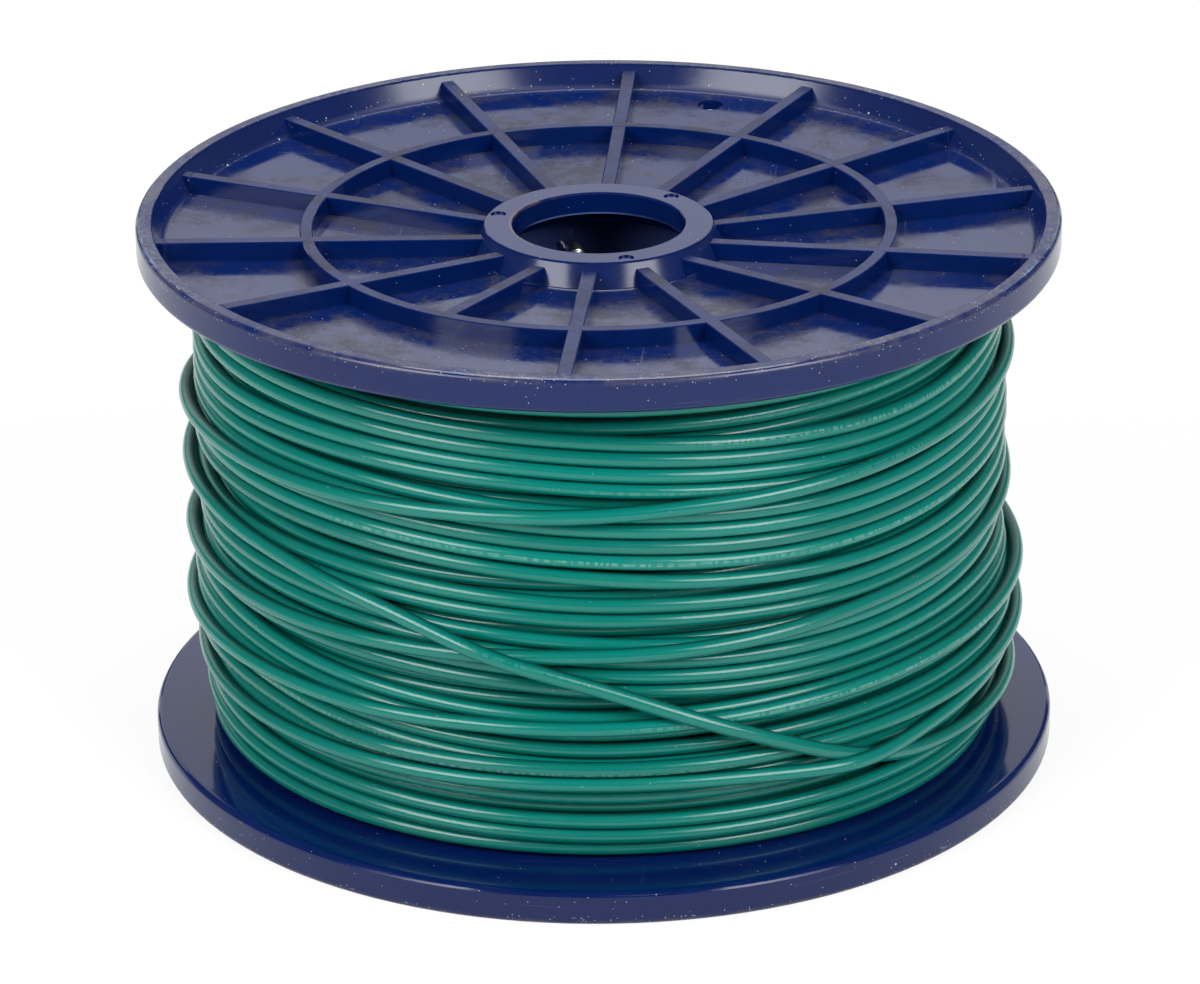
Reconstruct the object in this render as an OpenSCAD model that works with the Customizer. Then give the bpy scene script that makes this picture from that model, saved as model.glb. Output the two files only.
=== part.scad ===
// Spool of insulated wire.
// Two ribbed flanges are pushed onto the ends of a barrel tube and held by radial screws.
// The wire fills the spool: inner layers as one plain body, the outermost layer as real turns.
// The origin is the centre of the bottom rim, and +Z runs along the spool's axis.

/* [Spool] */
// Outer diameter of both flanges
flange_d = 152.4; // [120:0.2:200]
// Height of the whole spool over both rims
spool_h = 93.4; // [70:0.2:140]

/* [Rim and web] */
// Height of the rim
rim_h = 5.8; // [5:0.1:9]
// Thickness of the rim's wall
rim_wall = 2.7; // [2:0.1:5]
// Round on the rim's outer shoulder
shoulder_round = 0.9; // [0.3:0.1:1.5]
// Small round on the other moulded edges of rim and hub
edge_round = 0.3; // [0.1:0.05:0.5]
// Round on the flange's edge at the winding side
wire_side_round = 1.1; // [0.4:0.05:1.8]
// Thickness of the web
web_t = 1.7; // [1.2:0.1:3]
// How far the web leans in towards the winding between rim and hub
web_lean = 2.8; // [0.5:0.1:4]
// Fillet between rim and web
web_fillet = 0.9; // [0.5:0.1:2.2]

/* [Ribs] */
// Number of radial ribs
rib_count = 14; // [8:2:20]
// Thickness of a rib at its root
rib_t = 2.8; // [1.4:0.1:3.2]
// Height of the ribs over the web
rib_h = 2.9; // [1.5:0.1:3.2]
// How much each side of a rib or of the ring rib draws in towards its top
rib_draft = 0.2; // [0:0.05:0.4]
// Round on the top edges of ribs and ring rib
rib_round = 0.15; // [0.1:0.05:0.4]
// Outer diameter of the ring rib
ring_d = 99; // [80:0.5:116]
// Thickness of the ring rib at its root
ring_t = 2.5; // [1.4:0.1:3]

/* [Hub] */
// Outer diameter of the hub boss
hub_d = 38; // [37:0.5:48]
// Height of the hub boss over the web
hub_h = 4.2; // [3:0.1:5]
// Thickness of the plate that holds the bore
hub_plate_t = 3.75; // [2:0.05:5]
// Thickness of the boss wall under the plate
hub_wall = 2.1; // [1.4:0.1:2.6]
// Arbor bore
bore_d = 28.6; // [20:0.1:29]
// Diameter of the three ejector marks on the hub
mark_d = 2.6; // [1.5:0.1:2.8]
// Distance of the marks' middles from the hub's edge
mark_inset = 1.8; // [1.7:0.1:2.2]
// Depth of an ejector mark
mark_depth = 0.3; // [0.1:0.05:0.5]

/* [Wire end hole] */
// Diameter of the hole in the web that holds a wire's end
end_hole_d = 4.4; // [2.5:0.1:6]
// Distance of that hole from the rim's inner wall
end_hole_inset = 7.1; // [5:0.1:12]

/* [Barrel] */
// Outer diameter of the barrel tube
barrel_d = 64; // [60:0.5:80]
// Wall of the barrel tube
barrel_wall = 2.6; // [2.4:0.1:4]
// Length of the collar that plugs the barrel
collar_h = 14; // [12:0.5:20]
// Wall of the collar
collar_wall = 2.6; // [2:0.1:4]
// Gap between collar and barrel, on the radius
collar_gap = 0.15; // [0.1:0.05:0.3]
// Width of the flat seat that shows round the barrel's end
seat_rim = 1.5; // [0.5:0.1:3]

/* [Screws] */
// Screws at each end of the barrel
screw_count = 3; // [2:1:6]
// Distance of the screws from the barrel's end
screw_inset = 9; // [7:0.5:10]
// Diameter of the countersunk head
screw_head_d = 6.2; // [5:0.1:7]
// Height of the countersunk head
screw_head_h = 1.7; // [1.2:0.1:1.8]
// Diameter of the shank
screw_shank_d = 3.3; // [2.5:0.1:4]
// Diameter of the part that is driven into the collar
screw_core_d = 2.8; // [2:0.1:3.2]
// Length from the top of the head to the point
screw_l = 10.5; // [9.5:0.1:16]
// Gap round the shank in the barrel, on the radius
screw_gap = 0.2; // [0.1:0.05:0.4]
// Gap round the driven part in the collar, on the radius
pilot_gap = 0.05; // [0.03:0.01:0.1]

/* [Wire] */
// Diameter over the insulation
wire_d = 2.5; // [1.6:0.1:2.6]
// Diameter of the stranded conductor
conductor_d = 1.5; // [0.8:0.1:1.6]
// How far the conductor stands out of the cut end
conductor_bare = 1.5; // [0.5:0.1:5]
// Distance from the flange's edge to the wound wire, at the middle of its height
wire_margin = 5.9; // [4.5:0.1:16]
// How much more the winding bulges at the middle than at the flanges, on the radius
bulge = 1.9; // [0:0.1:3]
// Gap between neighbouring turns of the outermost layer
turn_gap = 0.85; // [0.8:0.05:2]
// Gap between the wire and what it lies on
wire_gap = 0.3; // [0.2:0.05:0.4]
// How unevenly the turns lie along the axis
unevenness = 0.15; // [0:0.01:0.18]

/* [Crossing turn] */
// Share of a turn that crosses over the layer
cross_share = 0.75; // [0.6:0.05:0.9]
// How far the crossing turn climbs along the axis
cross_rise = 45; // [20:1:50]
// Gap between the crossing turn and the layer under it
cross_gap = 0.5; // [0.45:0.05:0.8]

/* [Hidden] */
$fn = 96;

NAVY = [0.09, 0.11, 0.33];
BLACK_NAVY = [0.04, 0.05, 0.12];
STEEL = [0.72, 0.73, 0.75];
GREEN = [0.0, 0.42, 0.34];
DEEP_GREEN = [0.0, 0.30, 0.25];
COPPER = [0.78, 0.42, 0.25];

OVERLAP = 0.8; // how deep a rib's root is sunk in the wall that carries it
CUT = 1;       // how far a cutter runs past a face
ROUND_STEPS = 3;  // straight steps in a small round
FILLET_STEPS = 5; // straight steps in a large round or fillet

flange_r = flange_d / 2;
rim_in = flange_r - rim_wall;
hub_r = hub_d / 2;
bore_r = bore_d / 2;
barrel_r = barrel_d / 2;

// Height of the web's two faces at radius r, from the flange's outer plane
lean = web_lean / (rim_in - hub_r);
lean_angle = atan(lean);
function web_out(r) = rim_h - web_t + lean * (rim_in - r);
function web_in(r) = web_out(r) + web_t;

hub_top = web_out(hub_r) - hub_h;
hub_in = hub_r - hub_wall;
ring_r = (ring_d - ring_t) / 2;
rib_pitch = 360 / rib_count;
first_rib = 90;
bottom_turn = 180; // turn of the bottom flange, which puts its wire-end hole at the back

// Collar, barrel and screws, which all take their place from the seat
collar_r = barrel_r - barrel_wall - collar_gap;
collar_in = collar_r - collar_wall;
collar_lead = 0.6;
seat_r = barrel_r + seat_rim;
seat_z = web_in(collar_r);
barrel_l = spool_h - 2 * seat_z;
first_screw = -104;
screw_z = seat_z + screw_inset;
head_sink = 0.3; // how far a head's middle lies under the barrel's surface
head_r = barrel_r - head_sink;
point_l = 2.4;
neck_taper = 0.3;

mark_count = 3;
first_mark = 70.6;
mark_r = hub_r - mark_inset;

// Winding: the layer's centre line follows the bulge, and the core follows the layer.
// Its turns are as many as fit the height, but no more than the mesh can carry.
most_loops = 24;
rings_per_loop = 24;
tube_sides = 6;
wire_r = wire_d / 2;
layer_mid_r = flange_r - wire_margin - wire_r;
layer_end_r = layer_mid_r - bulge;
chord_sag = layer_mid_r * (1 - cos(180 / rings_per_loop));
core_depth = wire_r + chord_sag + wire_gap;
core_in_r = barrel_r + wire_gap;
layer_low = web_in(layer_end_r - wire_r) + wire_gap + wire_r;
layer_high = spool_h - layer_low;
loops = min(most_loops,
    floor((layer_high - layer_low) / (wire_d + turn_gap) + cross_share));
layer_loops = loops - cross_share;
cross_start = -20;
start_angle = cross_start + 360 * layer_loops;
cross_lift = wire_d + cross_gap;
climb_angle = 30;
rise_from = 8;
rise_angle = 132;
core_steps = 12;
waves = 1.37; // waves of unevenness in one turn

// 0 to 1 over the same range, flat at both ends
function smooth(x) = let (t = max(0, min(1, x))) t * t * (3 - 2 * t);

// Radius of the layer's centre line at a height
function layer_r(z) =
    layer_end_r + bulge * sin(180 * (z - layer_low) / (layer_high - layer_low));

// Height of the centre line after s turns, counted down from the top flange
function layer_z(s) =
    let (t = s / layer_loops)
    layer_high - (layer_high - layer_low) * t
        + unevenness * sin(180 * t) * sin(360 * waves * s);

// Point of the wire's centre line after s turns
function wire_point(s) =
    let (over = max(0, s - layer_loops) * 360,
        z = s < layer_loops ? layer_z(s)
            : layer_low + cross_rise * smooth((over - rise_from) / rise_angle),
        r = layer_r(z) + cross_lift * smooth(over / climb_angle),
        a = start_angle - 360 * s)
    [r * cos(a), r * sin(a), z];

function unit(v) = v / norm(v);

ring_count = loops * rings_per_loop;
turn_points = [for (i = [0:ring_count]) wire_point(i / rings_per_loop)];
start_dir = unit(turn_points[0] - turn_points[1]);
end_dir = unit(turn_points[ring_count] - turn_points[ring_count - 1]);
wire_path = concat([turn_points[0] + start_dir * wire_d], turn_points,
    [turn_points[ring_count] + end_dir * wire_d]);
path_last = len(wire_path) - 1;

// Corners of the tube's ring i: one corner points away from the spool's axis
function path_dir(i) = unit(wire_path[min(i + 1, path_last)] - wire_path[max(i - 1, 0)]);
function tube_ring(i) =
    let (p = wire_path[i], dir = path_dir(i), out = unit([p.x, p.y, 0]),
        side = unit(out - dir * (out * dir)), up = cross(dir, side))
    [for (k = [0:tube_sides - 1])
        p + wire_r * (cos(360 * k / tube_sides) * side + sin(360 * k / tube_sides) * up)];

// Least gap of the tube to itself: rings half a turn or more apart along the wire
layer_gap = min([for (i = [0:ring_count - rings_per_loop / 2])
    min([for (j = [i + rings_per_loop / 2:min(ring_count, i + 3 * rings_per_loop)])
        norm(turn_points[i] - turn_points[j])])]) - wire_d;
cross_first = ceil(layer_loops * rings_per_loop);
crossing_gap = min([for (i = [cross_first:ring_count])
    min([for (j = [0:i - rings_per_loop / 2]) norm(turn_points[i] - turn_points[j])])]) - wire_d;
echo(least_gap_of_the_wire_to_itself = min(layer_gap, crossing_gap), loops = loops);

// Rounded corner of a profile: points of an arc about c, from angle a to angle b
function arc(c, r, a, b, steps) =
    [for (i = [0:steps]) c + r * [cos(a + (b - a) * i / steps), sin(a + (b - a) * i / steps)]];

// Both ends use the same flange and screws, drawn with the flange's outer side down
module at_bottom() {
    rotate([0, 0, bottom_turn]) children();
}

module at_top() {
    translate([0, 0, spool_h]) rotate([180, 0, 0]) children();
}

// Half section of the flange, as [radius, height from its outer plane]
module flange_section() {
    fillet_r = rim_in - web_fillet;
    fillet_z = web_out(fillet_r) - web_fillet;
    edge_r = flange_r - wire_side_round;
    polygon(concat(
        arc([rim_in + edge_round, edge_round], edge_round, 180, 270, ROUND_STEPS),
        arc([flange_r - shoulder_round, shoulder_round], shoulder_round, 270, 360, FILLET_STEPS),
        arc([edge_r, web_in(edge_r) - wire_side_round], wire_side_round, 0, 90, FILLET_STEPS),
        [[seat_r, web_in(seat_r)],
            [seat_r, seat_z],
            [collar_r, seat_z],
            [collar_r, seat_z + collar_h - collar_lead],
            [collar_r - collar_lead, seat_z + collar_h],
            [collar_in, seat_z + collar_h],
            [collar_in, web_in(collar_in)],
            [hub_in, web_in(hub_in)],
            [hub_in, hub_top + hub_plate_t],
            [bore_r, hub_top + hub_plate_t]],
        arc([bore_r + edge_round, hub_top + edge_round], edge_round, 180, 270, ROUND_STEPS),
        arc([hub_r - edge_round, hub_top + edge_round], edge_round, 270, 360, ROUND_STEPS),
        [[hub_r, web_out(hub_r)]],
        arc([fillet_r, fillet_z], web_fillet, 90 - lean_angle, 0, FILLET_STEPS)
    ));
}

// Rib along the web from radius r0 to radius r1, with drafted sides and eased top edges
module rib(r0, r1) {
    root = rib_t / 2;
    top = root - rib_draft;
    ease = rib_round;
    translate([r0, 0, web_out(r0)])
        rotate([0, 90 + lean_angle, 0])
            linear_extrude((r1 - r0) / cos(lean_angle))
                polygon([[-OVERLAP, -root], [-OVERLAP, root], [rib_h - ease, top],
                    [rib_h, top - ease], [rib_h, ease - top], [rib_h - ease, -top]]);
}

// Ring rib, as high as the ribs are at its middle
module ring_rib() {
    root = ring_t / 2;
    top = root - rib_draft;
    ease = rib_round;
    foot = web_out(ring_r);
    rotate_extrude()
        translate([ring_r, 0])
            polygon([[-root, foot + OVERLAP], [root, foot + OVERLAP], [top, foot - rib_h + ease],
                [top - ease, foot - rib_h], [ease - top, foot - rib_h], [-top, foot - rib_h + ease]]);
}

// One flange with its outer side down: the same moulding closes both ends.
// One rib stops at the ring rib and leaves a double panel bare.
module flange() {
    bare_panel_rib = 1;
    difference() {
        union() {
            rotate_extrude() flange_section();
            ring_rib();
            for (i = [0:rib_count - 1])
                rotate([0, 0, first_rib + i * rib_pitch])
                    rib(hub_r - OVERLAP, i == bare_panel_rib ? ring_r : rim_in + OVERLAP);
        }
        rotate([0, 0, -first_rib + rib_pitch / 2])
            translate([rim_in - end_hole_inset, 0, 0])
                cylinder(d = end_hole_d, h = rim_h + web_lean + CUT);
        for (i = [0:mark_count - 1])
            rotate([0, 0, first_mark + i * 360 / mark_count])
                translate([mark_r, 0, hub_top - CUT])
                    cylinder(d = mark_d, h = CUT + mark_depth);
        screw_places()
            translate([collar_in - CUT, 0, 0])
                rotate([0, 90, 0])
                    cylinder(r = screw_core_d / 2 + pilot_gap, h = collar_wall + 2 * CUT);
    }
}

// Turns what is drawn along +X to each screw's place at one end
module screw_places() {
    for (i = [0:screw_count - 1])
        rotate([0, 0, first_screw + i * 360 / screw_count])
            translate([0, 0, screw_z])
                children();
}

// Clearance hole and countersink for one screw, along +X
module screw_hole() {
    head_top_r = screw_head_d / 2 + screw_gap;
    hole_r = screw_shank_d / 2 + screw_gap;
    cone_h = screw_head_h;
    translate([barrel_r - barrel_wall - CUT, 0, 0])
        rotate([0, 90, 0])
            cylinder(r = hole_r, h = barrel_wall + 2 * CUT);
    translate([head_r - cone_h, 0, 0])
        rotate([0, 90, 0])
            cylinder(r1 = hole_r, r2 = head_top_r, h = cone_h);
    translate([head_r, 0, 0])
        rotate([0, 90, 0])
            cylinder(r = head_top_r, h = head_sink + CUT);
}

// Countersunk self-tapping screw with its point towards the spool's axis, along +X
module screw() {
    head_edge = 0.2;
    point_r = 0.2;
    neck = head_r - collar_r; // the shank ends where the collar begins
    rotate([0, 90, 0])
        translate([0, 0, head_r])
            rotate([180, 0, 0])
                rotate_extrude()
                    polygon([[0, 0], [screw_head_d / 2, 0], [screw_head_d / 2, head_edge],
                        [screw_shank_d / 2, screw_head_h], [screw_shank_d / 2, neck - neck_taper],
                        [screw_core_d / 2, neck], [screw_core_d / 2, screw_l - point_l],
                        [point_r, screw_l], [0, screw_l]]);
}

module bottom_flange() {
    color(NAVY) at_bottom() flange();
}

module top_flange() {
    color(NAVY) at_top() flange();
}

module barrel() {
    color(BLACK_NAVY)
        difference() {
            translate([0, 0, seat_z])
                cylinder(r = barrel_r, h = barrel_l);
            translate([0, 0, seat_z - CUT])
                cylinder(r = barrel_r - barrel_wall, h = barrel_l + 2 * CUT);
            at_bottom() screw_places() screw_hole();
            at_top() screw_places() screw_hole();
        }
}

module bottom_screws() {
    color(STEEL) at_bottom() screw_places() screw();
}

module top_screws() {
    color(STEEL) at_top() screw_places() screw();
}

// Inner layers of wire, as one plain body between barrel, flanges and outermost layer
module wire_core() {
    side_r = layer_end_r - core_depth;
    side_low = web_in(side_r) + wire_gap;
    low = [[core_in_r, seat_z + wire_gap], [seat_r + wire_gap, seat_z + wire_gap],
        [side_r, side_low]];
    side_high = spool_h - side_low;
    side = [for (i = [1:core_steps - 1])
        let (z = side_low + (side_high - side_low) * i / core_steps)
        [layer_r(z) - core_depth, z]];
    high = [for (i = [2:-1:0]) [low[i].x, spool_h - low[i].y]];
    color(DEEP_GREEN)
        rotate_extrude()
            polygon(concat(low, side, high));
}

// Outermost layer: one unbroken tube, whose last turn climbs over the layer on the slant
module outer_turns() {
    n = tube_sides;
    points = [for (i = [0:path_last]) each tube_ring(i)];
    skin = [for (i = [0:path_last - 1]) for (k = [0:n - 1])
        let (a = i * n + k, b = i * n + (k + 1) % n, c = a + n, d = b + n)
        each [[a, b, d], [a, d, c]]];
    last = path_last * n;
    start_cap = [for (k = [1:n - 2]) [0, k + 1, k]];
    end_cap = [for (k = [1:n - 2]) [last, last + k, last + k + 1]];
    color(GREEN)
        polyhedron(points = points, faces = concat(skin, start_cap, end_cap));
}

// Bare strands that stand out of the wire's cut end
module conductor_end() {
    turn = atan2(end_dir.y, end_dir.x);
    tilt = acos(end_dir.z);
    color(COPPER)
        translate(wire_path[path_last])
            rotate([0, tilt, turn])
                cylinder(d = conductor_d, h = conductor_bare);
}

bottom_flange();
top_flange();
barrel();
bottom_screws();
top_screws();
wire_core();
outer_turns();
conductor_end();
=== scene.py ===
import math

import bmesh
import bpy
import numpy as np
from mathutils import Matrix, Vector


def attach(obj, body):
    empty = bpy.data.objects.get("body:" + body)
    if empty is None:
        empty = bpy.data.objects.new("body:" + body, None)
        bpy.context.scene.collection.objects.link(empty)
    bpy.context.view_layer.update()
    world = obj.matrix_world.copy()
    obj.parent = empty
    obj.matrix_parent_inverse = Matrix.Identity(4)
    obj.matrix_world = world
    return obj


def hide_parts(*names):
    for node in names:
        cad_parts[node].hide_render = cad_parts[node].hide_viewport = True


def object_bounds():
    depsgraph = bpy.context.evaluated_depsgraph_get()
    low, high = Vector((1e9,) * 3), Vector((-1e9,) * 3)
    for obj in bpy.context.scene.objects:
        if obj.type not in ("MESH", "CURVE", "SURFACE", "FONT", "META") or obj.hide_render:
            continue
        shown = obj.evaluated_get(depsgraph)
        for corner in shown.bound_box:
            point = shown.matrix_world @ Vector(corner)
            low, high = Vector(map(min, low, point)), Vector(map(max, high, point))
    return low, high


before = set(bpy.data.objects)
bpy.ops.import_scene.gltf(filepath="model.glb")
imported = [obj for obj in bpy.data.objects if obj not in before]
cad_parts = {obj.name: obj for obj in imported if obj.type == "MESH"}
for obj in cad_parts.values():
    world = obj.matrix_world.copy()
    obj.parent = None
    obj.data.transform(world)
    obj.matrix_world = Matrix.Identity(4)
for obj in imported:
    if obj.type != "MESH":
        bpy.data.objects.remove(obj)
cad_low, cad_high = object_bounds()
scene = bpy.context.scene


# ---- Camera --------------------------------------------------------------------------------
# A long lens looks down on the spool from its front, level but for a slight roll. The view
# heads a little to the left of +Y, so that the ribs lie as they should.

heading = math.radians(94.535)
eye_azimuth = math.radians(-85.482)
eye_distance = 0.84544
eye_height = 0.404235
look_down = math.radians(23.176)
roll = math.radians(-0.613)
sensor_mm = 36
lens_mm = 163.757
farthest_seen = 60

ahead = np.array([math.cos(heading), math.sin(heading), 0])
sideways = np.array([math.sin(heading), -math.cos(heading), 0])
upright = np.array([0, 0, 1])
view = math.cos(look_down) * ahead - math.sin(look_down) * upright
level_up = math.sin(look_down) * ahead + math.cos(look_down) * upright
right = math.cos(roll) * sideways + math.sin(roll) * level_up
up = math.cos(roll) * level_up - math.sin(roll) * sideways
eye = eye_distance * np.array([math.cos(eye_azimuth), math.sin(eye_azimuth), 0]) + eye_height * upright

camera = bpy.data.objects.new("camera", bpy.data.cameras.new("camera"))
camera.data.sensor_width = sensor_mm
camera.data.lens = lens_mm
camera.data.clip_end = farthest_seen
placing = np.eye(4)
placing[:3, :3] = np.column_stack([right, up, -view])
placing[:3, 3] = eye
camera.matrix_world = Matrix(placing.tolist())
scene.collection.objects.link(camera)
scene.camera = camera


# ---- Studio: floor, lamps and sky ----------------------------------------------------------
# A wide white floor under a dim plain sky. Two large soft boxes stand in front, to the left and
# right, and draw the bright stretches on the wire and on the flanges' slopes. One hangs above
# and lights what faces up, and a weak one stands behind and lies as a sheen on the webs.


class Value:
    """One output of a shader node. Expressions on values add Math nodes."""

    def __init__(self, finish, socket):
        self.finish, self.socket = finish, socket

    def math(self, operation, *others):
        return self.finish.node("Math", self, *others, operation=operation)

    def __add__(self, other):
        return self.math("ADD", other)

    def __sub__(self, other):
        return self.math("SUBTRACT", other)

    def __rsub__(self, other):
        return self.finish.node("Math", other, self, operation="SUBTRACT")

    def __mul__(self, other):
        return self.math("MULTIPLY", other)

    def __truediv__(self, other):
        return self.math("DIVIDE", other)

    def __pow__(self, other):
        return self.math("POWER", other)

    __radd__ = __add__
    __rmul__ = __mul__

    def above(self, low, high):
        """0 below low, 1 above high, and a smooth step between them."""
        return self.finish.node("MapRange", self, low, high, 0, 1, interpolation_type="SMOOTHSTEP")

    def below(self, low, high):
        return 1 - self.above(low, high)

    def near(self, middle, inner, outer):
        """1 within inner of the middle, and 0 beyond outer."""
        return (self - middle).math("ABSOLUTE").below(inner, outer)

    def also(self, name):
        """Another output of the same node."""
        return Value(self.finish, self.socket.node.outputs[name])

    def parts(self):
        """The three numbers of a vector."""
        x = self.finish.node("SeparateXYZ", self)
        return x, x.also("Y"), x.also("Z")


class Finish:
    """A material that is built up by node()."""

    def __init__(self, name):
        self.material = bpy.data.materials.new(name)
        self.material.use_nodes = True
        self.tree = self.material.node_tree
        self.tree.nodes.clear()

    def node(self, kind, *values, output=0, **given):
        """Adds a node of this kind. Of what is given by name, the node's own settings are set
        first, and then its inputs. The values go to its first inputs in their order."""
        node = self.tree.nodes.new("ShaderNode" + kind)
        inputs = {}
        for name, value in given.items():
            if hasattr(node, name):
                setattr(node, name, value)
            else:
                inputs[name.replace("_", " ")] = value
        for place, value in [*enumerate(values), *inputs.items()]:
            self.connect(node.inputs[place], value)
        return Value(self, node.outputs[output])

    def connect(self, target, value):
        if isinstance(value, Value):
            self.tree.links.new(value.socket, target)
        elif isinstance(value, tuple) and target.type == "RGBA":
            target.default_value = (*value, 1)
        else:
            target.default_value = value

    def mix(self, factor, first, second):
        """The first colour where factor is 0, and the second where it is 1."""
        node = self.tree.nodes.new("ShaderNodeMix")
        node.data_type = "RGBA"
        sockets = [s for s in node.inputs if s.enabled]
        for socket, value in zip(sockets, (factor, first, second)):
            self.connect(socket, value)
        return Value(self, next(s for s in node.outputs if s.enabled))

    def noise(self, place, scale, detail=3.0, roughness=0.55):
        return self.node("TexNoise", Vector=place, Scale=scale, Detail=detail, Roughness=roughness)

    def stretched(self, place, scale, turn=(0, 0, 0)):
        """Turns a place and scales its axes."""
        return self.node("Mapping", place, (0, 0, 0), turn, scale, vector_type="POINT")

    def done(self, shader):
        out = self.tree.nodes.new("ShaderNodeOutputMaterial")
        self.tree.links.new(shader.socket, out.inputs["Surface"])
        return self.material


def grid_object(name, points, material, lengths=None, sharp=180):
    """A mesh on a grid of points, given as an array of rows, columns and x, y, z. Points that
    lie on each other are merged, which closes seams, ends and poles. lengths gives each row's
    place along the piece, which goes to the U of its UV map, and V goes across the columns.
    Edges that turn by more than sharp degrees stay sharp."""
    rows, columns = points.shape[:2]
    row, column = np.meshgrid(np.arange(rows - 1), np.arange(columns - 1), indexing="ij")
    faces = np.stack([row * columns + column, row * columns + column + 1,
                      (row + 1) * columns + column + 1, (row + 1) * columns + column], axis=-1)
    mesh = bpy.data.meshes.new(name)
    mesh.vertices.add(rows * columns)
    mesh.vertices.foreach_set("co", points.reshape(-1).astype(np.float32))
    mesh.loops.add(faces.size)
    mesh.loops.foreach_set("vertex_index", faces.reshape(-1))
    mesh.polygons.add(faces.size // 4)
    mesh.polygons.foreach_set("loop_start", np.arange(0, faces.size, 4))
    mesh.update(calc_edges=True)
    if lengths is not None:
        u = np.stack([lengths[row], lengths[row], lengths[row + 1], lengths[row + 1]], axis=-1)
        v = np.stack([column, column + 1, column + 1, column], axis=-1) / (columns - 1)
        layer = mesh.uv_layers.new(name="along")
        layer.uv.foreach_set("vector", np.stack([u, v], axis=-1).reshape(-1).astype(np.float32))
    merging = bmesh.new()
    merging.from_mesh(mesh)
    bmesh.ops.remove_doubles(merging, verts=merging.verts, dist=1e-6)
    merging.to_mesh(mesh)
    merging.free()
    mesh.shade_smooth()
    mesh.set_sharp_from_angle(angle=math.radians(sharp))
    mesh.materials.append(material)
    thing = bpy.data.objects.new(name, mesh)
    scene.collection.objects.link(thing)
    return thing


floor_half = 12.0
floor_white = 0.86
glow_share = 0.86                  # share of an even white in what the camera sees of the floor
floor_finish = Finish("floor_finish")
floor_paint = floor_finish.node("BsdfDiffuse", Color=(floor_white,) * 3, Roughness=1.0)
floor_glow = floor_finish.node("Emission", (1, 1, 1), 1.0)
light_path = floor_finish.node("LightPath", output="Is Camera Ray")
seen = light_path.math("MAXIMUM", light_path.also("Is Glossy Ray")).math(
    "MAXIMUM", light_path.also("Is Transmission Ray"))
floor_shader = floor_finish.node("MixShader", seen * glow_share, floor_paint, floor_glow)
corner = np.array([-floor_half, floor_half])
floor_points = np.stack(np.meshgrid(corner, corner) + [np.zeros((2, 2))], axis=-1)
floor = grid_object("floor", floor_points, floor_finish.done(floor_shader))

sky_strength = 0.11
scene.world = bpy.data.worlds.new("sky")
scene.world.use_nodes = True
sky = scene.world.node_tree.nodes["Background"]
sky.inputs["Color"].default_value = (1, 1, 1, 1)
sky.inputs["Strength"].default_value = sky_strength


aim_height = 0.05                  # what the lamps face: this high on the spool's axis


def soft_box(name, first, last, depth, watts):
    """An area lamp that faces the spool. Its ends are places in the camera's own directions:
    right, ahead and up."""
    lamp = bpy.data.objects.new(name, bpy.data.lights.new(name, "AREA"))
    first, last = (np.array(place) @ [sideways, ahead, upright] for place in (first, last))
    side = (last - first) / np.linalg.norm(last - first)
    at = (first + last) / 2
    back = at - aim_height * upright
    back -= side * (back @ side)
    back /= np.linalg.norm(back)
    lamp.data.shape = "RECTANGLE"
    lamp.data.size, lamp.data.size_y, lamp.data.energy = np.linalg.norm(last - first), depth, watts
    placing = np.eye(4)
    placing[:3, :3] = np.column_stack([side, np.cross(back, side), back])
    placing[:3, 3] = at
    lamp.matrix_world = Matrix(placing.tolist())
    scene.collection.objects.link(lamp)


soft_box("left_box", (-0.95, -0.44, 0.70), (-0.54, -0.90, 0.70), depth=0.60, watts=9.6)
soft_box("right_box", (0.47, -0.93, 0.70), (0.91, -0.52, 0.70), depth=0.60, watts=9.6)
soft_box("rear_box", (-1.50, 1.80, 0.80), (1.00, 1.80, 0.80), depth=0.8, watts=5.6)
soft_box("top_box", (-0.35, 0.35, 1.05), (0.35, 0.35, 1.05), depth=0.6, watts=9.0)


# ---- Flanges -------------------------------------------------------------------------------
# Two glossy navy mouldings with ribs on their outer sides. The walls of rim and hub slope away
# from the web, so that the moulding leaves its mould. The spool has been handled: dust sits on
# the rims, the webs are smeared and scratched, and the outer edges are scuffed pale.

navy = Finish("navy_plastic")
place = navy.node("TexCoord", output="Object")
east, north, height = place.parts()
radius = (east * east + north * north) ** 0.5
spool_h = float(cad_high[2])
end = spool_h / 2                                       # the rims' height over the middle
outward = (height - end).math("ABSOLUTE")               # from the middle to either end

rim_r = float(cad_high[0])
rim_in = rim_r - 0.0027
shoulder = 0.0009
hub_r = 0.019
bore_r = 0.0143
rim_depth = 0.0041                 # how deep the web lies under the rim, beside the rim
lean = 0.0514                      # how much deeper it gets for each length towards the hub
slope_run = 0.00175                # how far the walls of rim and hub run out over the web
hub_h = 0.0042                     # how far the hub stands out of the web
hub_edge = 0.0440                  # height of the hub's top over the middle of the spool
hub_inside = 0.0169                # radius of the hollow under the plate that holds the bore
plate_depth = 0.00645              # how deep that plate's lower face lies under the rim
collar_inside = 0.02665            # inner radius of the collar
on_rim = radius.above(rim_in - 0.0004, rim_in)
on_side = radius.above(rim_r - 0.0004, rim_r - 0.0001)
*_, facing_up = navy.node("NewGeometry", output="Normal").parts()
level = facing_up.math("ABSOLUTE").above(0.93, 0.985)   # webs and tops, not the sides of ribs
outer_side = ((height - end) * facing_up).above(0, 0.001)
on_web = (1 - on_rim) * level * (outer_side * 0.85 + 0.15)

cloudy = navy.noise(place, 22.0, 4.0)
patchy = navy.noise(place, 47.0, 3.0)
mottle = navy.noise(place, 150.0, 4.0)
grain = navy.noise(place, 900.0, 3.0, 0.6)
grime = navy.noise(navy.stretched(place, (1, 1, 0.3)), 95.0, 8.0, 0.75)

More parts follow.
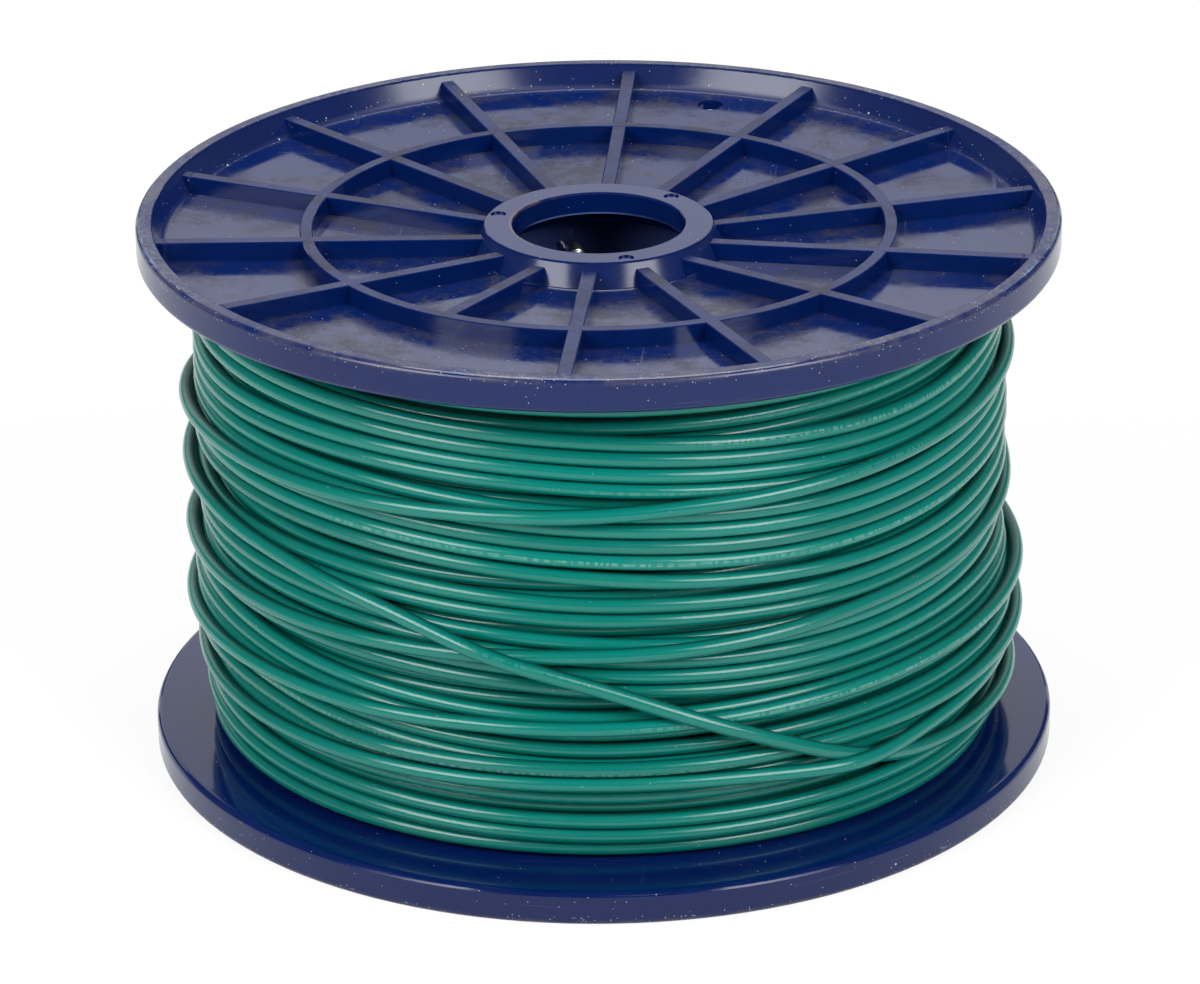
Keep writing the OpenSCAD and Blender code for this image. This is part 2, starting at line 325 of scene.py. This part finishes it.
across_a = navy.noise(navy.stretched(place, (12, 900, 12), (0, 0, 0.5)), 1.0, 2.0)
across_b = navy.noise(navy.stretched(place, (1100, 16, 16), (0, 0, 0.2)), 1.0, 2.0)
round_rim = navy.noise(navy.stretched(place, (50, 50, 2600)), 1.0, 3.0)
scratches = (across_a.above(0.69, 0.73) + across_b.above(0.70, 0.74)) * on_web
scratches = scratches * patchy.above(0.40, 0.62) + round_rim.above(0.66, 0.72) * on_side * 0.7


def specks(finish, place, per_metre, size, share):
    """Round specks of a size, given as a part of their cells. A share of the cells has one."""
    cell = finish.node("TexVoronoi", Vector=place, Scale=per_metre, Randomness=1.0)
    picked, *_ = cell.also("Color").parts()
    return cell.below(size * 0.55, size) * (picked + share).above(0.995, 1.0)


corner_dust = radius.near(rim_in - slope_run, 0.0003, 0.0012) * outer_side
shoulder_dust = outward.near(end - 0.0011, 0.0002, 0.0005) * on_side
on_edge = radius.above(rim_in, rim_in + 0.0004) * outward.above(end - 0.0012, end - 0.0004)
dusty = (cloudy.above(0.40, 0.75) * on_web * 0.02 + on_edge * 0.10
         + patchy.above(0.40, 0.65) * on_side * 0.03
         + corner_dust * 0.08 + shoulder_dust * 0.14)
fine_dust = specks(navy, place, per_metre=2800.0, size=0.30, share=dusty)
crumbs = specks(navy, place, per_metre=700.0, size=0.17,
                share=corner_dust * 0.12 + cloudy.above(0.5, 0.7) * 0.005)
dust = fine_dust.math("MAXIMUM", crumbs)

scuff = navy.noise(navy.stretched(place, (1, 1, 5)), 210.0, 5.0, 0.75)
worn_line = (radius.near(rim_r - shoulder * 0.8, 0.00006, 0.00022)
             * outward.above(end - 0.0003, end - 0.0001))
worn_side = (radius.above(rim_r - shoulder, rim_r - shoulder * 0.5)
             * outward.above(end - 0.0022, end - 0.0014))
scuffed = (worn_line * scuff.above(0.45, 0.60) * cloudy.above(0.46, 0.54) * 0.7
           + worn_side * scuff.above(0.60, 0.66) * cloudy.above(0.53, 0.60))
bore_wear = (radius.near(bore_r + 0.0002, 0.0002, 0.0005)
             * outward.above(hub_edge - 0.0006, hub_edge - 0.0002) * east.below(-0.012, -0.004))

# Dirt is smeared over the webs, most of all beside the hub, and a thin film dulls them.
near_hub = radius.below(0.034, 0.052)
smear = (grime + near_hub * 0.03).above(0.43, 0.66) * (cloudy + near_hub * 0.12).above(0.30, 0.54) * on_web
smear = smear * radius.above(hub_r - 0.0002, hub_r + 0.0004)
film = patchy.above(0.36, 0.66) * grain.above(0.30, 0.60) * on_web
corner = radius.near(rim_in - slope_run, 0.0001, 0.0005) * outer_side
above_web = outward - radius * lean - (end - rim_depth - rim_in * lean)
rib_tops = (above_web.above(0.0020, 0.0026) * level * (1 - on_rim)
            * radius.above(hub_r - 0.0002, hub_r + 0.0002))
rim_tops = on_rim * level * outer_side

# Behind the bore lie the hub's inner wall, the collar's inside and the plate's lower edge. Light and shade
# are painted there: painted shade on the hub's inner wall, painted light on the collar's inside, and a
# painted highlight along the plate's lower edge.
hub_inside_shade = (radius.below(hub_inside + 0.0003, hub_inside + 0.0007)
              * outward.below(end - plate_depth - 0.00025, end - plate_depth - 0.00005))
hollow_painted_light = (radius.near(collar_inside - 0.00045, 0.0006, 0.0008)
             * outward.below(end - 0.0071, end - 0.0069))
bore_lip_highlight = (radius.near(bore_r, 0.0001, 0.0003)
            * outward.near(end - plate_depth + 0.00015, 0.00008, 0.00022))
sloping = facing_up.math("ABSOLUTE").near(0.41, 0.15, 0.30) * outer_side
colour = navy.mix(mottle, (0.0004, 0.0085, 0.074), (0.0014, 0.0140, 0.100))
# Painted shade: the hub's inner wall under the plate is darkened to near black.
colour = navy.mix(hub_inside_shade * 0.8, colour, (0.0004, 0.0020, 0.010))
# Painted light: the collar's inside is painted a lighter blue, as if lit.
colour = navy.mix(hollow_painted_light, colour, (0.045, 0.070, 0.230))
# Painted highlight: a pale blue line along the bore wall's lower edge.
colour = navy.mix(bore_lip_highlight * patchy.above(0.35, 0.55) * 0.7, colour, (0.10, 0.15, 0.34))
colour = navy.mix(on_edge * grime.above(0.38, 0.62) * 0.30, colour, (0.17, 0.15, 0.13))
# The pale grey is a dust film on the webs. On the sloping walls the same grey is partly painted sheen.
colour = navy.mix((film + sloping * 0.6) * 0.04, colour, (0.16, 0.16, 0.20))
colour = navy.mix(rim_tops * grain.above(0.50, 0.60) * cloudy.above(0.40, 0.56) * 0.5, colour,
                  (0.13, 0.13, 0.14))
colour = navy.mix(smear * 0.62, colour, (0.028, 0.025, 0.022))
colour = navy.mix(scratches * 0.20, colour, (0.20, 0.22, 0.32))
colour = navy.mix(scuffed * 0.7, colour, (0.17, 0.30, 0.52))
colour = navy.mix(bore_wear * scuff.above(0.40, 0.60) * 0.45, colour, (0.16, 0.10, 0.06))
colour = navy.mix(dust * 0.9, colour, (0.62, 0.60, 0.54))
gloss = (mottle * 0.05 + grain * 0.05 + smear * 0.24 + film * 0.07 + scratches * 0.2 + on_side * 0.06
         + rib_tops * 0.26 + rim_tops * 0.26 + corner * 0.30 + dust * 0.4
         + sloping * (grime * 0.12 + 0.04) + 0.03)
relief = (mottle * 0.35 + grain * 0.10 + grime * 0.25) * (1 - rib_tops * 0.7) - scratches * 0.35
relief = relief + dust * 1.2 + scuffed * 0.4
bump = navy.node("Bump", Strength=0.20, Distance=0.00010, Height=relief)
navy_plastic = navy.done(navy.node("BsdfPrincipled", Base_Color=colour, Roughness=gloss, Normal=bump,
                                   Specular_IOR_Level=0.42))

for name in ("bottom_flange", "top_flange"):
    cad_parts[name].data.materials.clear()
    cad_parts[name].data.materials.append(navy_plastic)


def revolved(name, section, material, sharp=180):
    """Turns a closed section, as rows of radius and height, about the spool's axis. The section
    runs anticlockwise, or is turned round, so that the faces point outwards."""
    r, z = section.T
    if (r * (np.roll(z, -1) - np.roll(z, 1))).sum() < 0:
        section = section[::-1]
    r, z = np.concatenate([section, section[:1]]).T[:, :, None]
    turn = np.linspace(0, 2 * math.pi, 241)[None]
    points = np.stack([r * np.cos(turn), r * np.sin(turn), np.repeat(z, turn.size, axis=1)], axis=-1)
    return grid_object(name, points, material, np.linspace(0, 0.3, len(r)), sharp)


foot_round = 0.0004                # how far the round at a sloping wall's foot reaches either way
sunk = 0.0005                      # how deep its back lies in the wall and the web
eased = 0.0003                     # the small round on the top edges of rim and hub


def slope(edge, depth, out):
    """Section of a sloping wall, as radius and depth under the rim. It runs straight from the
    wall's edge to its foot on the web, and is rounded there as a parabola. out is 1 where it
    runs outwards, else -1. Its back is sunk in the wall and the web."""
    foot_r = edge + out * slope_run
    top = np.array([edge, depth])
    foot = np.array([foot_r, rim_depth + lean * (rim_in - foot_r)])
    before = foot + (top - foot) / np.linalg.norm(top - foot) * foot_round
    after = foot + np.array([1, -lean]) * out * foot_round
    u = np.linspace(0, 1, 6)[:, None]
    rounded = (1 - u) ** 2 * before + 2 * u * (1 - u) * foot + u ** 2 * after
    back = np.array([[after[0], after[1] + sunk], [edge - out * sunk, foot[1] + sunk],
                     [edge - out * sunk, depth + sunk]])
    return np.concatenate([[top], rounded, back])


hub_depth = rim_depth + lean * (rim_in - hub_r) - hub_h
slopes = {"rim_slope": slope(rim_in, eased, -1), "hub_slope": slope(hub_r, hub_depth + eased, 1)}
for name, section in slopes.items():
    for side, height_of in (("bottom", section), ("top", [0, spool_h] + section * [1, -1])):
        piece = revolved(name + "_" + side, height_of, navy_plastic, 40)
        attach(piece, "root")


# ---- Barrel --------------------------------------------------------------------------------
# A tube cut from dark pipe, pushed over the flanges' collars. Only its inside shows, down the
# arbor bore, as near black.

pipe = Finish("pipe_plastic")
place = pipe.node("TexCoord", output="Object")
draw_lines = pipe.noise(pipe.stretched(place, (900, 900, 8)), 1.0, 3.0)
dirt = pipe.noise(place, 90.0, 4.0)
colour = pipe.mix(dirt, (0.006, 0.008, 0.020), (0.016, 0.019, 0.036))
bump = pipe.node("Bump", Strength=0.2, Distance=0.0001, Height=draw_lines)
pipe_plastic = pipe.done(pipe.node("BsdfPrincipled", Base_Color=colour, Roughness=draw_lines * 0.2 + 0.38,
                                   Normal=bump))
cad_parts["barrel"].data.materials.clear()
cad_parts["barrel"].data.materials.append(pipe_plastic)


# ---- Screws --------------------------------------------------------------------------------
# Zinc-plated countersunk self-tapping screws, three through each end of the barrel into the
# flange's collar. Their points stand out inside the hollow, with a curl of plastic cut off by
# the thread beside one of them.

head_top = 0.0317                  # distance of the heads' tops from the spool's axis
head_rings = 12
# Depth under the head's top and half width there, both in mm
screw_profile = [(0, 3.1), (0.2, 3.1), (1.7, 1.65), (2.15, 1.62), (2.45, 1.35), (8.8, 1.35), (9.0, 1.52),
                 (9.2, 1.50), (9.34, 1.36), (9.42, 1.10), (9.5, 0.90), (9.6, 0.84), (9.9, 0.78),
                 (10.2, 0.60), (10.38, 0.38), (10.5, 0)]
thread_pitch = 0.0012
thread_height = 0.0003
ridge_share = 0.45                 # share of the pitch that a ridge takes up
thread_fades = [0.0023, 0.0027, 0.0082, 0.0090]        # depths where it starts, is full, thins and ends
recess_depth = 0.0011
recess_r = 0.0019
arm_half = 0.0005
screw_places = {
    "screws_lower": ("bottom_screws", 0.01707, (76, 196, 316)),
    "screws_upper": ("top_screws", 0.07633, (104, -16, -136)),
}


def screw_grid(azimuth, z):
    """A screw along a radius of the spool. Its half width is drawn over its depth from the
    head's top. The thread adds a ridge where depth over pitch, less the turn about the screw,
    is near half way between whole numbers. In the head, four arms are sunk where |x| or |y| is
    small."""
    depth = np.concatenate([np.zeros(head_rings), np.linspace(0, 1.7, 6), np.linspace(1.85, 8.8, 90),
                            np.linspace(8.88, 10.5, 28)]) / 1000
    profile_depth, profile_half = np.array(screw_profile).T / 1000
    width = np.interp(depth, profile_depth, profile_half)
    width[:head_rings] = np.linspace(0, profile_half[0], head_rings)
    turn = np.linspace(0, 2 * math.pi, 41)[None]
    ridge = 1 - np.abs((depth[:, None] / thread_pitch - turn / (2 * math.pi)) % 1 - 0.5) * 2 / ridge_share
    threaded = np.interp(depth, thread_fades, [0, 1, 1, 0])[:, None]
    half = width[:, None] + thread_height * np.clip(ridge, 0, 1) * threaded
    x, y = half * np.cos(turn), half * np.sin(turn)
    arm = np.clip((arm_half - np.minimum(np.abs(x), np.abs(y))) / 0.0002, 0, 1)
    recess = recess_depth * arm * np.clip((recess_r - half) / 0.0003, 0, 1) * (depth[:, None] == 0)
    out = np.array([math.cos(math.radians(azimuth)), math.sin(math.radians(azimuth)), 0])
    beside = np.array([-out[1], out[0], 0])
    return ((head_top - depth[:, None] - recess)[..., None] * out
            + x[..., None] * beside + (y + z)[..., None] * upright)


zinc = Finish("zinc_plate")
place = zinc.node("TexCoord", output="Object")
cast = zinc.noise(place, 900.0, 3.0)
stain = zinc.noise(place, 300.0, 4.0)
colour = zinc.mix(stain.above(0.4, 0.7) * 0.5, (0.82, 0.82, 0.83), (0.62, 0.60, 0.57))
bump = zinc.node("Bump", Strength=0.25, Distance=0.00004, Height=cast)
zinc_plate = zinc.done(zinc.node("BsdfPrincipled", Base_Color=colour, Metallic=1.0,
                                 Roughness=stain * 0.2 + 0.20, Normal=bump))


def joined_meshes(name, things):
    """Joins the meshes of like things into the first one and gives it the name."""
    gathered = bmesh.new()
    for thing in things:
        gathered.from_mesh(thing.data)
    gathered.to_mesh(things[0].data)
    gathered.free()
    for thing in things[1:]:
        bpy.data.objects.remove(thing)
    things[0].name = name
    return things[0]


for name, (node, z, azimuths) in screw_places.items():
    single = [grid_object(name, screw_grid(azimuth, z)[:, ::-1], zinc_plate) for azimuth in azimuths]
    screws = joined_meshes(name, single)
    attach(screws, "root")
    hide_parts(node)


def tube(path, radius, sides, out):
    """Carries a circle along a path, with both ends closed in a point: each ring stands square
    to the path, with its first point towards out."""
    along = np.gradient(path, axis=0)
    along /= np.linalg.norm(along, axis=1, keepdims=True)
    out = out - along * (out * along).sum(axis=1, keepdims=True)
    out /= np.linalg.norm(out, axis=1, keepdims=True)
    aside = np.cross(along, out)
    turn = np.linspace(0, 2 * math.pi, sides + 1)[None, :, None]
    rings = path[:, None] + radius * (out[:, None] * np.cos(turn) - aside[:, None] * np.sin(turn))
    first = np.broadcast_to(path[0], rings[:1].shape)
    last = np.broadcast_to(path[-1], rings[:1].shape)
    return np.concatenate([first, rings, last])


# The curl is a short arc, square to the spool's radius, whose lower end lies a little nearer the axis.
curl_points = 40
curl_r = 0.0007
shaving_r = 0.00020
curl_turn = np.linspace(math.radians(78), math.radians(-20), curl_points)
curl_azimuth = math.radians(108.3)
curl_out = np.array([math.cos(curl_azimuth), math.sin(curl_azimuth), 0])
curl_aside = np.array([-curl_out[1], curl_out[0], 0])
curl_path = ((0.0252 + 0.00040 * curl_turn)[:, None] * curl_out
             + (0.00061 - curl_r * np.cos(curl_turn))[:, None] * curl_aside
             + (0.07730 + curl_r * np.sin(curl_turn))[:, None] * upright)
shaving = Finish("plastic_shaving")
place = shaving.node("TexCoord", output="Object")
torn = shaving.noise(place, 2500.0, 3.0)
colour = shaving.mix(torn, (0.60, 0.61, 0.64), (0.80, 0.80, 0.82))
bump = shaving.node("Bump", Strength=0.3, Distance=0.00003, Height=torn)
plastic_shaving = shaving.done(shaving.node("BsdfPrincipled", Base_Color=colour, Roughness=torn * 0.2 + 0.35,
                                            Normal=bump))
curl_rings = tube(curl_path, shaving_r, 8, np.tile(curl_out, (curl_points, 1)))
curl = grid_object("plastic_curl", curl_rings, plastic_shaving)
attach(curl, "root")


# ---- Wound wire ----------------------------------------------------------------------------
# Green insulated wire, wound under tension. It is laid here turn by turn: each turn lies beside
# the one before it, rests on the turns below it and is pulled straight between them.

wire_d = 0.0025
wire_r = wire_d / 2
squeeze = 0.97                     # crossing wires press into each other a little
per_turn = 240
step = 2 * math.pi / per_turn
web_inside = 0.0061                # inner face of a web near its rim, from the spool's end
lowest = web_inside + wire_r + 0.00005
travel = spool_h - 2 * lowest
drum_r = 0.0629                    # outside of the plain inner winding, on the whole
# Its dips and humps: azimuth in degrees, then depth under the top rim, reach up and down, and
# size on the radius, in mm
uneven = [(0, 20, 13, -1.0), (0, 51, 6, -0.7), (0, 65, 10, 1.5), (180, 74, 10, -1.3), (180, 61, 6, 0.9),
          (180, 51, 4, -0.9), (-90, 84, 12, -0.8)]
uneven_reach = 65                  # how far round a dip or hump reaches either way, in degrees
soft_rest, soft_join, soft_run = 5, 6, 14              # half widths of the softening, in points


def bulge(x):
    """A raised cosine: 1 at 0, and 0 from -1 down and from 1 up."""
    return 0.5 + 0.5 * np.cos(math.pi * np.clip(x, -1, 1))


def layer(turns, gaps, widest, reach, seed):
    """Height of the points of a layer over its first turn, in metres. Each turn lies one wire
    beside the turn before it, plus gaps that open and close as raised cosines. The sum is
    scaled so that the last turn comes to the height reach."""
    chance = np.random.default_rng(seed)
    s = np.arange(1, turns * per_turn + 1) / per_turn
    order = np.arange(gaps)
    turn = np.floor((order + chance.uniform(0, 1, gaps)) * (turns - 2) / gaps) + 1
    centre = (turn + (order * 0.618 + chance.uniform()) % 1)[:, None]
    half = chance.uniform(0.16, 0.5, gaps)[:, None]
    size = chance.uniform(0.25, widest, gaps)[:, None]
    pitch = 1 + (size * bulge((s - centre) / half)).sum(axis=0)
    beside = pitch.reshape(turns, per_turn)
    beside[0] = s[:per_turn] * beside[0, -1]
    heights = beside.cumsum(axis=0).reshape(-1)
    return heights * reach / heights.max()


def by_column(start, values, fill):
    """A stretch of wire that starts at the point start, as one row for each whole turn."""
    before = start % per_turn
    after = -(before + len(values)) % per_turn
    return np.pad(values, (before, after), constant_values=fill).reshape(-1, per_turn)


def drum(start, z):
    """Radius of the inner winding under each point of a stretch: the whole drum's, and a dip
    or hump as the product of a raised cosine of the azimuth and one of the height."""
    azimuth = -(start + np.arange(len(z))) * step
    centre, depth, half, size = np.array(uneven).T[:, :, None]
    aside = (azimuth - np.radians(centre) + math.pi) % (2 * math.pi) - math.pi
    above = (spool_h - z - depth / 1000) / (half / 1000)
    return drum_r + (size / 1000 * bulge(aside / math.radians(uneven_reach)) * bulge(above)).sum(axis=0)


def resting(start, z, below):
    """Radius at which each point rests on the wires below it: with a height h between two
    wires, the upper one lies sqrt(d^2 - h^2) further out than the lower one."""
    upper = by_column(start, z, np.nan)[:, None]
    lift = by_column(start, drum(start, z) + wire_r, drum_r)
    for low_start, low_z, low_r in below:
        lower_z = by_column(low_start, low_z, np.nan)[None]
        lower_r = by_column(low_start, low_r, np.nan)[None]
        reach = (squeeze * wire_d) ** 2 - (upper - lower_z) ** 2
        touch = np.where(reach > 0, lower_r + np.sqrt(np.maximum(reach, 0)), 0)
        lift = np.maximum(lift, np.nan_to_num(touch).max(axis=1))
    return lift.reshape(-1)[start % per_turn:][:len(z)]


def taut(support):
    """Pulls a wire straight over its supports. On a straight stretch 1/r at the middle is the
    mean of 1/r at its ends over the cosine of half its angle, and no point lies inside that."""
    u = 1 / support
    for span in (14, 9, 6, 4, 3, 2, 1, 10, 5, 2, 1):
        wide = np.pad(u, span, mode="edge")
        u = np.minimum(u, (wide[2 * span:] + wide[:-2 * span]) / (2 * math.cos(span * step)))
    return 1 / u


def softened(values, width):
    """A moving average with raised-cosine weights, so that the wire bends and never kinks."""
    weights = bulge(np.linspace(-1, 1, 2 * width + 1)[1:-1])
    weights /= weights.sum()
    return np.convolve(np.pad(values, width - 1, mode="edge"), weights, mode="valid")


def lay(start, z, below, over_itself=0):
    """Lays a stretch of wire over the stretches below it, and over its own earlier turns."""
    r = taut(resting(start, z, below))
    for _ in range(over_itself):
        own = r.copy()
        for turn in range(1, len(z) // per_turn + 1):
            back = turn * per_turn
            reach = (squeeze * wire_d) ** 2 - (z[back:] - z[:-back]) ** 2
            touch = np.where(reach > 0, r[:-back] + np.sqrt(np.maximum(reach, 0)), 0)
            own[back:] = np.maximum(own[back:], touch)
        r = taut(own)
    return start, z, softened(r, soft_rest)


def run_through(points):
    """Heights along a stretch whose points are (turns since its start, depth under the top
    rim in mm), joined by straight lines that are then softened."""
    turns, depths = np.array(points, float).T
    s = np.arange(round(turns[-1] * per_turn)) / per_turn
    return softened(spool_h - np.interp(s, turns, depths) / 1000, soft_run)


first_turns, outer_turn_count = 29, 24
top_place = wire_d                 # the outer layer leaves the last place to the loose turns
first_heights = layer(first_turns, gaps=7, widest=0.9, reach=travel, seed=3)
under = lay(0, spool_h - lowest - first_heights, [])
start = first_turns * per_turn
outer_heights = layer(outer_turn_count, gaps=17, widest=1.5, reach=travel - top_place, seed=8)
outer = lay(start, lowest + outer_heights, [under])
start += outer_turn_count * per_turn

# The last turns lie loose on the full layers, and fall from the top to the bottom again.
loose_points = [(0, 9.9), (0.25, 8.7), (0.5, 7.5), (0.58, 7.9), (0.75, 14), (1, 22), (1.25, 26), (1.5, 30),
                (1.75, 38), (2, 46), (2.25, 50), (2.5, 54), (2.75, 57), (3, 60), (3.25, 62.5), (3.5, 65),
                (3.75, 67.5), (4, 69.6), (4.25, 69.4), (4.5, 70), (4.75, 71)]
loose = lay(start, run_through(loose_points), [under, outer], over_itself=2)

# The turn that crosses on the slant is laid first, then the turn before it, which crosses over
# its start.
held_points = [(0, 71), (0.25, 72.2), (0.36, 73.4), (0.39, 73.4), (0.47, 71.9), (0.75, 73.5), (1.0, 77),
               (1.25, 80)]
last_points = [(0, 80), (0.09, 78.7), (0.125, 76.4), (0.15, 71.1), (0.183, 64.1), (0.247, 53.6),
               (0.311, 45.7), (0.364, 42.2), (0.433, 40.2), (0.813, 40.7)]
held_start = start + len(loose[1])
held_z = run_through(held_points)
last_start = held_start + len(held_z)
last = lay(last_start, run_through(last_points), [under, outer, loose])
held = lay(held_start, held_z, [under, outer, loose, last])

whole_z = softened(np.concatenate([s[1] for s in (under, outer, loose, held, last)]), soft_join)
whole_r = softened(np.concatenate([s[2] for s in (under, outer, loose, held, last)]), soft_join)
angle = -np.arange(len(whole_z)) * step                # clockwise, as seen from above
wire_path = np.stack([whole_r * np.cos(angle), whole_r * np.sin(angle), whole_z], axis=-1)

green = Finish("green_insulation")
place = green.node("TexCoord", output="Object")
u, v, _ = green.node("UVMap", uv_map="along").parts()
tone = green.noise(green.node("CombineXYZ", u * 3.0, 0.0, 0.0), 1.0, 2.0)
haze = green.noise(place, 55.0, 5.0, 0.6)
rub = green.noise(green.node("CombineXYZ", u * 160.0, v * 30.0, 0.0), 1.0, 5.0, 0.7)
lines = green.noise(green.node("CombineXYZ", u * 12.0, v * 60.0, 0.0), 1.0, 2.0)
fleck = green.noise(place, 900.0, 2.0)

# A worn line of plain ticks runs along the wire in a few stretches.
tick = green.noise(green.node("CombineXYZ", u * 1150.0, 2.0, 0.0), 1.0, 0.0).above(0.47, 0.52)
printed = green.noise(green.node("CombineXYZ", u * 3.5, 4.0, 0.0), 1.0, 0.0).above(0.62, 0.65)
drift = green.noise(green.node("CombineXYZ", u * 1.3, 7.0, 0.0), 1.0, 1.0)
from_out = ((v + 0.5).math("FRACT") - 0.5).math("ABSOLUTE")
off_line = ((v + 0.5).math("FRACT") - 0.5 + (drift - 0.5) * 0.6).math("ABSOLUTE") / 0.045
print_mark = printed * tick * off_line.below(0.70, 1.0) * rub.above(0.40, 0.58)

# The wire's sides, where the turns touch, are darkened as painted shade, and are rougher there.
gap_shade = from_out.above(0.15, 0.27)

grit = specks(green, place, per_metre=1500.0, size=0.22, share=0.010)
colour = green.mix(tone.above(0.3, 0.7), (0.0, 0.155, 0.125), (0.0, 0.204, 0.165))
colour = green.mix(haze.above(0.52, 0.78) * 0.15, colour, (0.06, 0.25, 0.20))
colour = green.mix(rub.above(0.64, 0.8) * 0.08, colour, (0.22, 0.40, 0.34))
# Painted shade on the wire's sides, in the gaps between the turns.
colour = green.mix(gap_shade * 0.8, colour, (0.0, 0.040, 0.034))
colour = green.mix(print_mark * 0.30, colour, (0.36, 0.62, 0.50))
colour = green.mix(grit * 0.5, colour, (0.40, 0.52, 0.46))
gloss = lines * 0.06 + haze * 0.10 + rub * 0.13 + gap_shade * 0.25 + 0.04
bump = green.node("Bump", Strength=0.25, Distance=0.00006, Height=lines + rub * 0.7 + fleck * 0.15)
insulation = green.done(green.node("BsdfPrincipled", Base_Color=colour, Roughness=gloss, Normal=bump,
                                   Specular_IOR_Level=0.5))

run = np.concatenate([[0], np.linalg.norm(np.diff(wire_path, axis=0), axis=1).cumsum()])
ends = [0, start - outer_turn_count * per_turn, start, len(wire_path)]
wire_pieces = {"wire_under_layer": 8, "wire_outer_layer": 12, "wire_last_turns": 16}
for number, (name, sides) in enumerate(wire_pieces.items()):
    stretch = slice(ends[number], ends[number + 1] + 1)
    path, lengths = wire_path[stretch], np.pad(run[stretch], 1, mode="edge")
    piece = grid_object(name, tube(path, wire_r, sides, path * [1, 1, 0]), insulation, lengths)
    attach(piece, "root")
    if name == "wire_outer_layer":
        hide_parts("outer_turns")

# The layers inside are one closed ring: its outside is scalloped by the turns that touch it.
core_in_r, core_in_z = 0.0323, 0.0087
core_low = 0.0067                  # distance of its ends from the spool's, at its outside
core_sink = 0.0012                 # how far its crests lie under the drum's outside
scallop = 0.0008
scallop_pitch = wire_d * 1.04
core_z = np.linspace(core_low, spool_h - core_low, 200)
core_r = drum_r - core_sink - scallop * np.abs(np.sin(math.pi * (core_z - core_z[0]) / scallop_pitch))
core_section = np.stack([np.concatenate([[core_in_r], core_r, [core_in_r]]),
                         np.concatenate([[core_in_z], core_z, [spool_h - core_in_z]])], axis=-1)
core = revolved("wire_inner_layers", core_section, insulation)
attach(core, "root")
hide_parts("wire_core")


# ---- Conductor -----------------------------------------------------------------------------
# Nineteen bare copper wires, twisted into the strand that the insulation is moulded on. They
# stand out of the cut end at the back.

strand_d = 0.0003
lay_length = 0.020
bare_length = 0.0014
root_length = 0.0006               # how far the strands reach back into the wire's end
strand_rings, strand_sides = 8, 8
tip, before_tip = wire_path[-1], wire_path[-3]
onward = (tip - before_tip) / np.linalg.norm(tip - before_tip)
aside = np.cross(onward, tip * [1, 1, 0])
aside /= np.linalg.norm(aside)
outside = np.cross(aside, onward)
along_strand = np.linspace(-root_length, bare_length, strand_rings)
strands = []
copper = Finish("bare_copper")
place = copper.node("TexCoord", output="Object")
tarnish = copper.noise(place, 1400.0, 3.0)
colour = copper.mix(tarnish, (0.72, 0.33, 0.18), (0.50, 0.20, 0.10))
bump = copper.node("Bump", Strength=0.2, Distance=0.00002, Height=tarnish)
bare_copper = copper.done(copper.node("BsdfPrincipled", Base_Color=colour, Metallic=1.0,
                                      Roughness=tarnish * 0.25 + 0.2, Normal=bump))
for count, from_middle in ((1, 0.0), (6, strand_d), (12, 2 * strand_d)):
    for first in np.arange(count) / count:
        turn = 2 * math.pi * (first + along_strand / lay_length)
        path = (tip + along_strand[:, None] * onward
                + from_middle * (np.cos(turn)[:, None] * outside + np.sin(turn)[:, None] * aside))
        strand = tube(path, strand_d / 2, strand_sides, np.tile(outside, (strand_rings, 1)))
        strands.append(grid_object("copper_strands", strand, bare_copper))
strands = joined_meshes("copper_strands", strands)
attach(strands, "root")
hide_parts("conductor_end")


# ---- Finish --------------------------------------------------------------------------------
# Colours are shown as they are.

scene.view_settings.view_transform = "Standard"
